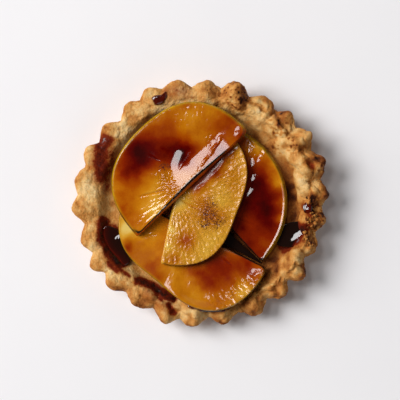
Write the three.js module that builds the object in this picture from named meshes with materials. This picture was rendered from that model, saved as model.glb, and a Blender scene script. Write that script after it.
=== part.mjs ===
// A persimmon tart, 112 mm across. A fluted pastry shell holds four half-moon slices of
// persimmon, which lie over each other in three layers. Millimetres, +Z up. The origin is
// the middle of the shell's flat underside, and the photograph's right is +X.
import * as THREE from 'three';

// ---- driving dimensions ----

// The shell's outer edge: one row for each flute, with its tip's angle in degrees from +X
// and its reach from the middle. The flutes are as uneven as the real ones.
const fluteTips = [
  [4, 54.6], [19, 55.8], [33, 55.8], [45, 55.3], [59, 54.2], [74, 55.4], [88, 53.8],
  [103, 55.5], [116, 56.1], [127, 55.5], [143, 55.8], [156, 57.0], [170, 57.6],
  [182, 57.6], [198, 55.8], [210, 56.9], [221, 55.4], [237, 54.2], [252, 55.3],
  [265, 54.6], [280, 53.6], [296, 54.4], [311, 53.7], [324, 54.4], [338, 53.7], [353, 53.6],
];
const fluteDepth = 2.6;
const stepsPerFlute = 8;

const rimHeight = 16.3;
const rimTilt = 0.9; // the rim stands this much higher on the right, lower on the left
const rimSag = 3.5; // and this much lower at the front, where a slice weighs on it
// The knolls and dips of the rim's top: angle, height and half-width in degrees.
const rimKnolls = [[72, 1.1, 6], [61, -0.9, 4], [44, -1.1, 4], [31, 1.0, 8], [356, -0.8, 5],
  [340, -1.0, 7], [325, 0.9, 6]];
const footRadius = 46.6; // the flat underside, inside its rounded edge
const floorHeight = 9.7; // the pastry floor under the fruit
const floorCrown = 0.7;
const rimWidth = 9.4; // from the mean outer radius to the top of the inner slope
const rimSlope = 3.8; // how far in from there the rim meets the floor
const clumpSize = 5.6; // the pastry's lumps
const clumpHeight = 1.15; // on the craggy right side
const smoothShare = 0.25; // of that, on the smooth left side

const sliceThickness = 3.0;
const outlineSteps = 64;
const arcShare = 0.7; // of the steps, on the round side of a slice
const swellHeight = 0.2; // slow waves in a baked slice

// Each slice is a half-moon. reach gives its radius from the middle of its cut, as a cosine
// series in the angle that is counted from the cut's first end. corners are the roundings of
// the cut's two ends. peelLean and cutLean say how far the foot of each side stands out past
// its top. bed is the height of the underside at x, y.
const slices = [
  {
    name: 'persimmon_slice_lower_left',
    middle: [-5.7, -10.8],
    cutAngle: 152.5,
    reach: [33.0, -4.4, 3.5, 0.9, -1.4],
    corners: [2.0, 1.4],
    peelLean: 0.5,
    cutLean: 0.9,
    bed: (x, y) => {
      const outward = 0.13 * (x + 5.7) - 0.99 * (y + 10.8);
      return 10.8 + 3.8 * Math.max(0, outward / 36) ** 2;
    },
  },
  {
    name: 'persimmon_slice_right',
    middle: [1.4, -0.1],
    cutAngle: -46.5,
    reach: [35.4, 0.6, -0.4],
    corners: [1.2, 1.6],
    peelLean: 1.9,
    cutLean: 0.6,
    bed: (x, y) => 10.85 + 0.45 * (x - y) / 50,
  },
  {
    name: 'persimmon_slice_middle',
    middle: [-12.7, 2.8],
    cutAngle: -101.5,
    reach: [32.2, -3.4, 2.0, 0.5, -1.4],
    corners: [1.2, 3.0],
    peelLean: 1.3,
    cutLean: 1.1,
    bed: (x, y) => 14.75 + 0.5 * Math.max(0, -y / 27) ** 2 - 0.9 * Math.max(0, (y - 10) / 25) ** 2,
  },
  {
    name: 'persimmon_slice_upper_left',
    middle: [-4.0, 8.5],
    cutAngle: 43.3,
    reach: [35.0, -0.2, -0.1, -0.1, -1.2],
    corners: [3.4, 1.2],
    peelLean: 0.7,
    cutLean: 1.5,
    bed: (x, y) => {
      const along = 0.728 * (x + 4) + 0.686 * (y - 8.5);
      const inward = -0.686 * (x + 4) + 0.728 * (y - 8.5);
      const droop = ease((-along - 10) / 24);
      return 18.25 - 4.8 * Math.max(0, inward / 35) ** 3.5 - 3.4 * droop;
    },
  },
];

// ---- small maths ----

const radians = THREE.MathUtils.degToRad;
const lerp = THREE.MathUtils.lerp;

// 0 below 0, 1 above 1, and a soft S between.
function ease(x) {
  return THREE.MathUtils.smoothstep(x, 0, 1);
}

// A bell of height 1 at one angle, fading round the circle; all in degrees.
function bell(angle, peak, width) {
  const away = THREE.MathUtils.euclideanModulo(angle - peak + 180, 360) - 180;
  return Math.exp(-((away / width) ** 2));
}

// A repeatable number from 0 to 1 for each cell of a lattice.
function scatter(i, j, k, salt) {
  const wave = Math.sin(i * 127.1 + j * 311.7 + k * 74.7 + salt * 53.3) * 43758.5453;
  return wave - Math.floor(wave);
}

// Rounded clumps: each lattice cell has one seed. The value is 1 over a seed and falls with
// the square of the distance, so creases run half-way between seeds.
function clumps(point, size) {
  const cell = point.map((value) => Math.floor(value / size));
  let nearest = 4;
  for (let di = -1; di <= 1; di++) {
    for (let dj = -1; dj <= 1; dj++) {
      for (let dk = -1; dk <= 1; dk++) {
        const home = [cell[0] + di, cell[1] + dj, cell[2] + dk];
        let square = 0;
        for (let axis = 0; axis < 3; axis++) {
          const seed = home[axis] + scatter(home[0], home[1], home[2], axis + 1);
          square += (seed - point[axis] / size) ** 2;
        }
        nearest = Math.min(nearest, square);
      }
    }
  }
  return 1 - nearest / 0.45;
}

// A closed skin over rings of points that run anticlockwise seen from above, from the pole
// under the middle, outwards, up, and back to the pole over it.
function skin(rings, lowPole, highPole) {
  const around = rings[0].length;
  const positions = [lowPole, ...rings.flat(), highPole].flat();
  const last = rings.length * around + 1;
  const index = [];
  for (let i = 0; i < around; i++) {
    const next = (i + 1) % around;
    const top = (rings.length - 1) * around + 1;
    index.push(0, next + 1, i + 1);
    for (let row = 0; row < rings.length - 1; row++) {
      const low = row * around + 1;
      const high = low + around;
      index.push(low + i, low + next, high + next);
      index.push(low + i, high + next, high + i);
    }
    index.push(top + i, top + next, last);
  }
  const geometry = new THREE.BufferGeometry();
  geometry.setAttribute('position', new THREE.Float32BufferAttribute(positions, 3));
  geometry.setIndex(index);
  geometry.computeVertexNormals();
  return geometry;
}

// ---- the pastry shell ----

// How craggy the rim is at an angle: 1 on the right, near 0 on the smooth left.
function craggy(angle) {
  const right = ease((Math.cos(radians(angle + 5)) + 0.35) / 0.7);
  return Math.max(right, 0.7 * bell(angle, 262, 28));
}

// The outer radius without its flutes.
function meanRadius(angle) {
  return 53.7 + 1.7 * Math.cos(radians(angle - 160)) + 0.6 * Math.cos(radians(2 * angle));
}

function rimTop(angle) {
  const knolls = rimKnolls.reduce((sum, [peak, height, width]) => sum + height * bell(angle, peak, width), 0);
  return rimHeight + rimTilt * Math.cos(radians(angle - 30)) - rimSag * bell(angle, 283, 38) + knolls;
}

// The valley between a flute and the next one: its angle and radius.
function valleyAfter(flute) {
  const count = fluteTips.length;
  const [angle, reach] = fluteTips[(flute + count) % count];
  const [nextAngle, nextReach] = fluteTips[(flute + 1 + count) % count];
  const gap = THREE.MathUtils.euclideanModulo(nextAngle - angle, 360);
  const middle = angle + gap / 2;
  const depth = fluteDepth + 1.2 * bell(middle, 290, 50) + 2.0 * bell(middle, 134, 6);
  return { angle: middle, radius: Math.min(reach, nextReach) - depth };
}

// The fluted edge: an angle and a radius for every step round the shell.
function fluteEdge() {
  const edge = [];
  fluteTips.forEach(([tipAngle, tipReach], flute) => {
    const before = valleyAfter(flute - 1);
    const after = valleyAfter(flute);
    const start = tipAngle - THREE.MathUtils.euclideanModulo(tipAngle - before.angle, 360);
    for (let step = 0; step < stepsPerFlute; step++) {
      const part = step / stepsPerFlute;
      const rising = part < 0.5;
      const angle = rising ? lerp(start, tipAngle, 2 * part) : lerp(tipAngle, after.angle, 2 * part - 1);
      const valley = rising ? before.radius : after.radius;
      const lobe = 0.6 * Math.sin(Math.PI * part) + 0.4 * Math.sin(Math.PI * part) ** 2;
      edge.push({ angle, radius: lerp(valley, tipReach, lobe) });
    }
  });
  return edge;
}

// The shell's section at one angle, from the foot, up the wall, over the rim and down to the
// floor. Each row gives a radius without flutes, a height, the share of the flutes that it
// follows, and the share of the clumps.
function shellSection(angle) {
  const crag = craggy(angle);
  const mean = meanRadius(angle);
  const top = rimTop(angle);
  const crest = mean - 5.0 - 0.5 * crag;
  const inner = mean - rimWidth - 1.2 * bell(angle, 180, 60) + 2.2 * bell(angle, 308, 26);
  const footOfRim = inner - rimSlope - 2.8 * bell(angle, 50, 14);
  return [
    [footRadius - 1.8, 0, 0.5, 0],
    [footRadius, 1.1, 0.55, 0.1],
    [lerp(footRadius, mean, 0.36), 4.6, 0.68, 0.3],
    [lerp(footRadius, mean, 0.74), 9.0, 0.85, 0.4],
    [mean - 0.2, top - 4.4 - 0.8 * crag, 1.0, 0.6],
    [mean, top - 2.2 - 1.2 * crag, 1.0, 0.8],
    [mean - 1.5, top - 0.7 - 1.3 * crag, 0.95, 0.9],
    [mean - 3.3, top - 0.1 - 0.9 * crag, 0.6, 1.0],
    [crest, top, 0.3, 1.0],
    [lerp(crest, inner, 0.52), top - 0.35, 0.15, 1.0],
    [inner, top - 1.5, 0.06, 0.8],
    [lerp(inner, footOfRim, 0.55), lerp(top - 1.5, floorHeight, 0.55), 0, 0.5],
    [footOfRim, floorHeight + 0.5, 0, 0.15],
    [footOfRim - 3, floorHeight + 0.05, 0, 0],
    [26, floorHeight + floorCrown * 0.5, 0, 0],
    [12, floorHeight + floorCrown * 0.9, 0, 0],
  ];
}

function makeShell() {
  const columns = fluteEdge().map(({ angle, radius }) => {
    const section = shellSection(angle);
    const swing = radius - meanRadius(angle);
    const plain = section.map(([reach, height, fluted]) => [reach + fluted * swing, height]);
    const amount = clumpHeight * lerp(smoothShare, 1, craggy(angle));
    const turn = radians(angle);
    return plain.map(([reach, height], row) => {
      const [reachBefore, heightBefore] = plain[Math.max(row - 1, 0)];
      const [reachAfter, heightAfter] = plain[Math.min(row + 1, plain.length - 1)];
      const slope = Math.hypot(reachAfter - reachBefore, heightAfter - heightBefore);
      const spot = [reach * Math.cos(turn), reach * Math.sin(turn), height];
      const push = amount * section[row][3] * clumps(spot, clumpSize);
      const out = reach + push * (heightAfter - heightBefore) / slope;
      const up = height - push * (reachAfter - reachBefore) / slope;
      return [out * Math.cos(turn), out * Math.sin(turn), up];
    });
  });
  const rings = columns[0].map((_, row) => columns.map((column) => column[row]));
  return skin(rings, [0, 0, 0], [0, 0, floorHeight + floorCrown]);
}

// ---- the persimmon slices ----

// A point of the sharp outline, for part from 0 to 1: first the round side, then the cut.
function sharpOutline(slice, part) {
  const wrapped = THREE.MathUtils.euclideanModulo(part, 1);
  const ends = (turn) => {
    const reach = slice.reach.reduce((sum, size, wave) => sum + size * Math.cos(wave * turn), 0);
    const angle = radians(slice.cutAngle) + turn;
    return [slice.middle[0] + reach * Math.cos(angle), slice.middle[1] + reach * Math.sin(angle)];
  };
  if (wrapped < arcShare) {
    return ends(Math.PI * wrapped / arcShare);
  }
  const first = ends(0);
  const last = ends(Math.PI);
  const along = (wrapped - arcShare) / (1 - arcShare);
  return [lerp(last[0], first[0], along), lerp(last[1], first[1], along)];
}

// The outline with its corners rounded: the mean of nine points of the sharp one. They lie
// within the corner's rounding of the place, so a straight or gently curved stretch stays.
function outline(slice, part) {
  const perimeter = 177;
  const nearLast = ease((part - 0.1) / (arcShare - 0.1)) * (part < (1 + arcShare) / 2 ? 1 : 0);
  const spread = lerp(slice.corners[0], slice.corners[1], nearLast) / perimeter;
  let [x, y] = [0, 0];
  for (let k = -4; k <= 4; k++) {
    const [px, py] = sharpOutline(slice, part + spread * k / 4);
    x += px / 9;
    y += py / 9;
  }
  return [x, y];
}

// The slow waves of a slice's top face.
function swell(x, y) {
  return swellHeight * (Math.sin(x / 5.1 + 0.7) * Math.cos(y / 6.3) + Math.sin((x - y) / 7.7));
}

// The rows of a slice from the underside's middle to the top's. Each gives how far it lies in
// from the outline, as a share of the way to the middle and in mm, the share of the side's
// lean that it has come in by, and its share of the thickness.
const sliceRows = [
  [0.62, 0, 0, 0],
  [0.25, 0, 0, 0],
  [0, 1.0, 0, 0.02],
  [0, 0.15, 0, 0.2],
  [0, 0, 0.3, 0.45],
  [0, 0.05, 0.7, 0.74],
  [0, 0.4, 1, 0.93],
  [0, 1.4, 1, 1],
  [0.25, 0, 0, 1],
  [0.62, 0, 0, 1],
];

function makeSlice(slice) {
  const parts = Array.from({ length: outlineSteps }, (_, step) => step / outlineSteps);
  const edge = parts.map((part) => outline(slice, part));
  const sum = edge.reduce(([sx, sy], [x, y]) => [sx + x, sy + y], [0, 0]);
  const heart = sum.map((value) => value / outlineSteps);
  const heightAt = (x, y, share) => slice.bed(x, y) + share * (sliceThickness + swell(x, y));
  const rings = sliceRows.map(([inward, inset, leant, share]) => edge.map(([x, y], step) => {
    const onPeel = ease(Math.min(parts[step], arcShare - parts[step]) / 0.03);
    const lean = lerp(slice.cutLean, slice.peelLean, onPeel);
    const away = Math.hypot(x - heart[0], y - heart[1]);
    const keep = 1 - inward - (inset + leant * lean) / away;
    const px = lerp(heart[0], x, keep);
    const py = lerp(heart[1], y, keep);
    return [px, py, heightAt(px, py, share)];
  }));
  return skin(rings, [...heart, heightAt(...heart, 0)], [...heart, heightAt(...heart, 1)]);
}

// ---- the whole tart ----

const tart = new THREE.Group();

const pastry = new THREE.MeshStandardMaterial({ color: 0xc8985a, roughness: 0.85, metalness: 0 });
const shell = new THREE.Mesh(makeShell(), pastry);
shell.name = 'tart_shell';
tart.add(shell);

for (const slice of slices) {
  const fruit = new THREE.MeshStandardMaterial({ color: 0xb8660e, roughness: 0.2, metalness: 0 });
  const mesh = new THREE.Mesh(makeSlice(slice), fruit);
  mesh.name = slice.name;
  tart.add(mesh);
}

export default tart;
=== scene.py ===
# A persimmon tart on a pale table, seen straight from above.
# Shapes are worked out in millimetres, in the tart's own frame, and become metres in addFaces.
import math
import bpy
import numpy as np
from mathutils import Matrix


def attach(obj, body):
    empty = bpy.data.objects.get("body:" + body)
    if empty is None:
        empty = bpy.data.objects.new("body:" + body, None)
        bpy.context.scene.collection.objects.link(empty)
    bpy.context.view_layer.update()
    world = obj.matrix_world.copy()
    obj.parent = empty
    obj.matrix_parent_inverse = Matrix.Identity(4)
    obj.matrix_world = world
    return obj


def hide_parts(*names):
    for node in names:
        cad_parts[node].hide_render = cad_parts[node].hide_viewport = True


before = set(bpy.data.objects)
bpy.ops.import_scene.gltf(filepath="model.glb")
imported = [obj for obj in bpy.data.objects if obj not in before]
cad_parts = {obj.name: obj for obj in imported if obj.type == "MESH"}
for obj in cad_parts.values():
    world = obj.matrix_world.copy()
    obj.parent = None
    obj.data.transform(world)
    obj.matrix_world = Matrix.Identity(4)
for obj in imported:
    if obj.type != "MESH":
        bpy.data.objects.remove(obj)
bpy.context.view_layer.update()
mm = 0.001
print("frame loaded:", ", ".join(sorted(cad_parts)))


def ease(x):  # 0 below 0, 1 above 1, a soft S between
    x = np.clip(x, 0, 1)
    return x * x * (3 - 2 * x)


def mix(a, b, part):  # a where part is 0, b where it is 1
    return a + (b - a) * part


def above(x, softness=0.35):  # 0 below 0, x above 0, with a soft bend between
    return (x + np.sqrt(x * x + softness)) / 2


def bell(angle, peak, width):  # height 1 at one angle, fading round the circle, in degrees
    away = (angle - peak + 180) % 360 - 180
    return np.exp(-(away / width) ** 2)


# A repeatable number from 0 to 1 for each lattice cell: the part after the point of a high,
# fast sine wave.
def scatter(i, j, k, salt):
    wave = np.sin(i * 127.1 + j * 311.7 + k * 74.7 + salt * 53.3) * 43758.5453
    return wave - np.floor(wave)


# Rounded clumps: 1 at the seed of each cell, less the squared distance to the nearest seed,
# so creases run half-way between seeds.
def clumps(points, size):
    place = points / size
    cell = np.floor(place)
    nearest = np.full(points.shape[:-1], 4.0)
    for step in np.ndindex(3, 3, 3):
        home = cell + np.array(step) - 1
        i, j, k = np.moveaxis(home, -1, 0)
        seed = home + np.stack([scatter(i, j, k, axis + 1) for axis in range(3)], -1)
        nearest = np.minimum(nearest, ((seed - place) ** 2).sum(-1))
    return 1 - nearest / 0.45


# Slow random waves from -1 to 1: the numbers at a lattice's corners, joined by soft S curves.
def drift(points, size, salt=0.0):
    place = points / size
    cell = np.floor(place)
    part = ease(place - cell)
    total = 0.0
    for step in np.ndindex(2, 2, 2):
        i, j, k = np.moveaxis(cell + np.array(step), -1, 0)
        share = np.prod(np.where(np.array(step) == 1, part, 1 - part), axis=-1)
        total = total + share * scatter(i, j, k, salt)
    return 2 * total - 1


# Points moved by waves of a reach and a size in mm, and x and y by coarse and fine ones, so
# that what is laid out on them gets uneven outlines.
def shaken(points, reach, size, salt):
    return points + reach * np.stack([drift(points, size, salt + axis) for axis in range(3)], -1)


def wander(x, y, points, coarse, fine, salt):
    return [place + coarse[0] * drift(points, coarse[1], first)
            + fine[0] * drift(points, fine[1], first + 1) for place, first in ((x, salt), (y, salt + 2))]


# x and y seen along a direction in degrees: how far along it, and how far to its left.
def seenAlong(x, y, direction):
    aim = math.radians(direction)
    return x * math.cos(aim) + y * math.sin(aim), y * math.cos(aim) - x * math.sin(aim)


# Rows between given rows: a Catmull-Rom curve through the first axis, at row numbers "at".
def betweenRows(rows, at):
    low = np.clip(np.floor(at).astype(int), 0, len(rows) - 2)
    t = (at - low).reshape(-1, *[1] * (rows.ndim - 1))
    last = len(rows) - 1
    before, start = rows[np.clip(low - 1, 0, last)], rows[low]
    end, after = rows[low + 1], rows[np.clip(low + 2, 0, last)]
    bend = 2 * before - 5 * start + 4 * end - after
    twist = 3 * (start - end) + after - before
    return start + 0.5 * t * (end - before + t * (bend + t * twist))


# Row numbers with a chosen count of steps in each stretch.
def rowNumbers(stretches):
    parts = [np.linspace(low, high, count, endpoint=False) for low, high, count in stretches]
    return np.concatenate(parts + [[stretches[-1][1]]])


# The squared distance to a spot, in squared radii.
def spotAway(x, y, cx, cy, radius):
    return ((x - cx) ** 2 + (y - cy) ** 2) / radius ** 2


# How strongly spots cover a place: x, y, radius and strength, with a soft edge.
def spotCover(x, y, spots, softness=0.8):
    cover = np.zeros_like(x)
    for cx, cy, radius, strength in spots:
        away = np.hypot(x - cx, y - cy) / radius
        cover = np.maximum(cover, strength * ease((1 + softness - away) / (2 * softness)))
    return cover


# Distance to a run of points joined by straight lines.
def runDistance(x, y, run):
    away = np.full_like(x, 1e9)
    for (ax, ay), (bx, by) in zip(run[:-1], run[1:]):
        length = (bx - ax) ** 2 + (by - ay) ** 2
        along = np.clip(((x - ax) * (bx - ax) + (y - ay) * (by - ay)) / length, 0, 1)
        away = np.minimum(away, np.hypot(x - ax - along * (bx - ax), y - ay - along * (by - ay)))
    return away


# A closed skin over rings of points (rows, around, 3) that run anticlockwise from above,
# from the pole under the middle, outwards, up, and back to the pole over it.
def addSkin(name, rings, lowPole, highPole, marks):
    points = np.concatenate([[lowPole], rings.reshape(-1, 3), [highPole]])
    return addFaces(name, points, *skinFaces(*rings.shape[:2]), marks)


# The faces of such a skin: quads between the rings, and a fan of triangles at each pole.
def skinFaces(rows, around):
    here = np.arange(around)
    after = (here + 1) % around
    low = 1 + around * np.arange(rows - 1)[:, None]
    quads = np.stack([low + here, low + after, low + around + after, low + around + here], -1)
    top = 1 + around * (rows - 1)
    lowFan = np.stack([np.zeros_like(here), 1 + after, 1 + here], -1)
    highFan = np.stack([top + here, top + after, np.full_like(here, top + around)], -1)
    return quads.reshape(-1, 4), np.concatenate([lowFan, highFan])


# An object from points in mm, quads, triangles, and marks of one number per point, which
# materials read by name.
def addFaces(name, points, quads, triangles, marks):
    mesh = bpy.data.meshes.new(name)
    mesh.vertices.add(len(points))
    mesh.vertices.foreach_set("co", (points * mm).astype(np.float32).ravel())
    corners = np.concatenate([quads.ravel(), triangles.ravel()])
    mesh.loops.add(len(corners))
    mesh.loops.foreach_set("vertex_index", corners.astype(np.int32))
    starts = [4 * np.arange(len(quads)), quads.size + 3 * np.arange(len(triangles))]
    mesh.polygons.add(len(quads) + len(triangles))
    mesh.polygons.foreach_set("loop_start", np.concatenate(starts).astype(np.int32))
    mesh.update(calc_edges=True)
    mesh.shade_smooth()
    for mark, values in marks.items():
        layer = mesh.attributes.new(mark, "FLOAT", "POINT")
        layer.data.foreach_set("value", np.asarray(values, np.float32).ravel())
    piece = bpy.data.objects.new(name, mesh)
    bpy.context.collection.objects.link(piece)
    return piece


# A mark per ring point, with the two poles taking the value of their nearest row.
def withPoles(values):
    return np.concatenate([[values[0, 0]], values.ravel(), [values[-1, 0]]])


# A wrapped socket: + - * on it add Math nodes, and make() adds any other node.
class Wire:
    def __init__(self, tree, socket=None):
        self.tree = tree
        self.socket = socket

    def make(self, kind, settings=None, inputs=None, output=0):
        node = self.tree.nodes.new("ShaderNode" + kind)
        for key, value in (settings or {}).items():
            if key == "stops":
                ramp = node.color_ramp.elements
                while len(ramp) < len(value):
                    ramp.new(0.5)
                for element, (position, shade) in zip(ramp, value):
                    element.position = position
                    element.color = shade
            else:
                setattr(node, key, value)
        for key, value in (inputs or {}).items():
            if isinstance(value, Wire):
                self.tree.links.new(value.socket, node.inputs[key])
            else:
                node.inputs[key].default_value = value
        return Wire(self.tree, node.outputs[output]) if node.outputs else Wire(self.tree)

    def maths(self, operation, *values, clamp=False):
        settings = {"operation": operation, "use_clamp": clamp}
        return self.make("Math", settings, dict(enumerate(values)))

    def __add__(self, other):
        return self.maths("ADD", self, other)

    def __sub__(self, other):
        return self.maths("SUBTRACT", self, other)

    def __rsub__(self, other):
        return self.maths("SUBTRACT", other, self)

    def __mul__(self, other):
        return self.maths("MULTIPLY", self, other)

    __radd__ = __add__  # these two give the same from either side
    __rmul__ = __mul__

    def clamp(self):
        return self.maths("ADD", self, 0.0, clamp=True)

    def mark(self, name):
        return self.make("Attribute", {"attribute_name": name}, output="Fac")

    # smooth noise round 0, with grains of about "size" mm
    def noise(self, size, detail=2.0, roughness=0.5):
        inputs = {"Vector": self.make("TexCoord", output="Object"), "Scale": 1 / (size * mm),
                  "Detail": detail, "Roughness": roughness}
        return self.make("TexNoise", {}, inputs) - 0.5

    # cell distance: 0 at each seed, rising between them
    def cells(self, size):
        inputs = {"Vector": self.make("TexCoord", output="Object"), "Scale": 1 / (size * mm)}
        return self.make("TexVoronoi", {}, inputs, output="Distance")

    def ramp(self, stops, factor):
        return self.make("ValToRGB", {"stops": stops}, {0: factor})

    def blend(self, first, second, factor):
        return self.make("Mix", {"data_type": "RGBA"}, {0: factor, 6: first, 7: second}, output=2)

    def bump(self, height, strength, distance):
        inputs = {"Height": height, "Strength": strength, "Distance": distance * mm}
        return self.make("Bump", {}, inputs)


# A screen colour of 0 to 255 in the linear form that nodes take.
def shade(red, green, blue):
    part = np.array([red, green, blue]) / 255
    linear = np.where(part > 0.04045, ((part + 0.055) / 1.055) ** 2.4, part / 12.92)
    return (*linear.tolist(), 1.0)


def newMaterial(name):
    material = bpy.data.materials.new(name)
    material.use_nodes = True
    material.node_tree.nodes.clear()
    return material, Wire(material.node_tree)


def closeMaterial(wire, sockets):  # the one shader and the output
    surface = wire.make("BsdfPrincipled", {}, sockets)
    wire.make("OutputMaterial", {}, {"Surface": surface})


shellShape = {  # mm and degrees
    "fluteTips": [  # direction and radius of each
        (4, 54.6), (19, 55.8), (33, 55.8), (45, 55.3), (59, 54.2), (74, 55.4), (88, 53.8),
        (103, 55.5), (116, 56.1), (127, 55.5), (143, 55.8), (156, 57.0), (170, 57.6),
        (182, 57.6), (198, 55.8), (210, 56.9), (221, 55.4), (237, 54.2), (252, 55.3),
        (265, 54.6), (280, 53.6), (296, 54.8), (311, 54.4), (324, 55.1), (338, 54.3), (353, 53.9),
    ],
    "fluteDepth": 2.6,
    # mean radius, its gain towards 160 degrees, its oval
    "reach": (53.7, 1.7, 0.6),
    "rimHeight": 16.3,
    "rimTilt": 0.9,  # up towards the upper right
    "rimSag": 3.5,  # at the bottom
    # highs and lows of the rim: direction, height, width
    "rimKnolls": [(72, 1.1, 6), (61, -0.9, 4), (44, -1.1, 4), (31, 1.0, 8), (356, -0.8, 5),
                  (340, -1.0, 7), (325, 0.9, 6)],
    "footRadius": 46.6,
    "floorHeight": 9.7,
    "floorCrown": 0.7,
    "rimWidth": 9.4,
    "rimSlope": 3.8,
    "clumpSize": 5.6,
    "clumpHeight": 1.5,
    "smoothShare": 0.25,  # of the clumps' height, on the smooth left
    "around": 900,
    # stretches of the section's rows: first, last, count of steps
    "rowSteps": [(0, 1, 3), (1, 4, 15), (4, 11, 66), (11, 13, 12), (13, 15, 7)],
    "ridgeHeight": 0.55,  # of the flutes on the rim, for each mm of their reach
    "creaseDepth": 1.1,  # between the knobs at the edge and the rim's plateau
    "creaseRow": 7.5,
    "rollSize": 8.0,
    "rollHeight": 1.0,
    "grainSize": 3.0,
    "grainHeight": 0.40,
    "crumbSize": 1.5,
    "crumbHeight": 0.20,
    "reliefSink": 0.4,
    "bend": (1.2, 3.2),  # reach and size of the waves that bend the clumps
    "tear": (0.6, 1.2),  # and the crumbs
    # coarser crumbs: share that is added, direction, width
    "crumblyAt": [(1.6, -9, 10), (0.8, 73, 8)],
}


# How craggy the rim is at an angle: 1 on the right, 0.7 at the bottom, 0 on the smooth left.
def craggy(angle):
    right = ease((np.cos(np.radians(angle + 5)) + 0.35) / 0.7)
    return np.maximum(right, 0.7 * bell(angle, 262, 28))


# The radius without flutes: mean + gain * cos(angle - 160) + oval * cos(2 * angle).
def meanRadius(angle):
    plain, westward, oval = shellShape["reach"]
    return plain + westward * np.cos(np.radians(angle - 160)) + oval * np.cos(np.radians(2 * angle))


# The rim's height: level + tilt as a cosine - sag + knolls.
def rimTop(angle):
    s = shellShape
    knolls = sum(height * bell(angle, peak, width) for peak, height, width in s["rimKnolls"])
    tilt = s["rimTilt"] * np.cos(np.radians(angle - 30))
    return s["rimHeight"] + tilt - s["rimSag"] * bell(angle, 283, 38) + knolls


# The fluted edge: between two valleys the radius follows a lobe of 0.6 sine + 0.4 sine^2.
def fluteEdge(angle):
    tips, reach = np.array(shellShape["fluteTips"]).T
    valley = tips + (np.roll(tips, -1) - tips) % 360 / 2
    depth = shellShape["fluteDepth"] + 1.2 * bell(valley, 290, 50) + 2.0 * bell(valley, 134, 6)
    floor = np.minimum(reach, np.roll(reach, -1)) - depth
    start = valley[-1] - 360
    knots = np.concatenate([[start], np.stack([tips, valley], 1).ravel()])
    place = np.interp((angle - start) % 360 + start, knots, np.arange(len(knots)) / 2)
    flute = np.floor(place).astype(int) % len(tips)
    part = place % 1
    low = np.where(part < 0.5, floor[flute - 1], floor[flute])
    wave = np.sin(np.pi * part)
    return mix(low, reach[flute], 0.6 * wave + 0.4 * wave ** 2)


# The section at each angle, from the foot, up the wall, over the rim and down to the floor:
# radius without flutes, height, share of the flutes and share of the clumps.
def shellSection(angle):
    s = shellShape
    crag = craggy(angle)
    mean = meanRadius(angle)
    top = rimTop(angle)
    crest = mean - 5.0 - 0.5 * crag
    inner = mean - s["rimWidth"] - 1.2 * bell(angle, 180, 60) + 2.2 * bell(angle, 308, 26)
    inner = inner + 2.4 * bell(angle, 203, 12) + 1.5 * bell(angle, 340, 10)
    footOfRim = inner - s["rimSlope"] - 2.8 * bell(angle, 50, 14) + 1.8 * bell(angle, -5, 26)
    foot, ground = s["footRadius"], s["floorHeight"]
    rows = [
        (foot - 1.8, 0, 0.5, 0),
        (foot, 1.1, 0.55, 0.1),
        (mix(foot, mean, 0.36), 4.6, 0.68, 0.3),
        (mix(foot, mean, 0.74), 9.0, 0.85, 0.4),
        (mean - 0.2, top - 4.0 - 1.2 * crag, 1.0, 0.6),
        (mean, top - 1.7 - 1.7 * crag, 1.0, 0.8),
        (mean - 1.1 - 0.4 * crag, top - 0.5 - 1.5 * crag, 0.95, 0.9),
        (mean - 3.0 - 0.3 * crag, top - 0.05 - 0.95 * crag, mix(0.4, 0.6, crag), 1.0),
        (crest, top, mix(0.12, 0.3, crag), 1.0),
        (mix(crest, inner, 0.52), top - 0.35 - 1.0 * bell(angle, 318, 18),
         mix(0.04, 0.15, crag), 1.0),
        (inner, top - 1.5 - 1.4 * bell(angle, 318, 20), 0.06, 0.8),
        (mix(inner, footOfRim, 0.55), mix(top - 1.5, ground, 0.55), 0, 0.5),
        (footOfRim, ground + 0.5, 0, 0.15),
        (footOfRim - 3, ground + 0.05, 0, 0),
        (26, ground + s["floorCrown"] * 0.5, 0, 0),
        (12, ground + s["floorCrown"] * 0.9, 0, 0),
    ]
    return np.array([[np.broadcast_to(value, angle.shape) for value in row] for row in rows])


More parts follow.
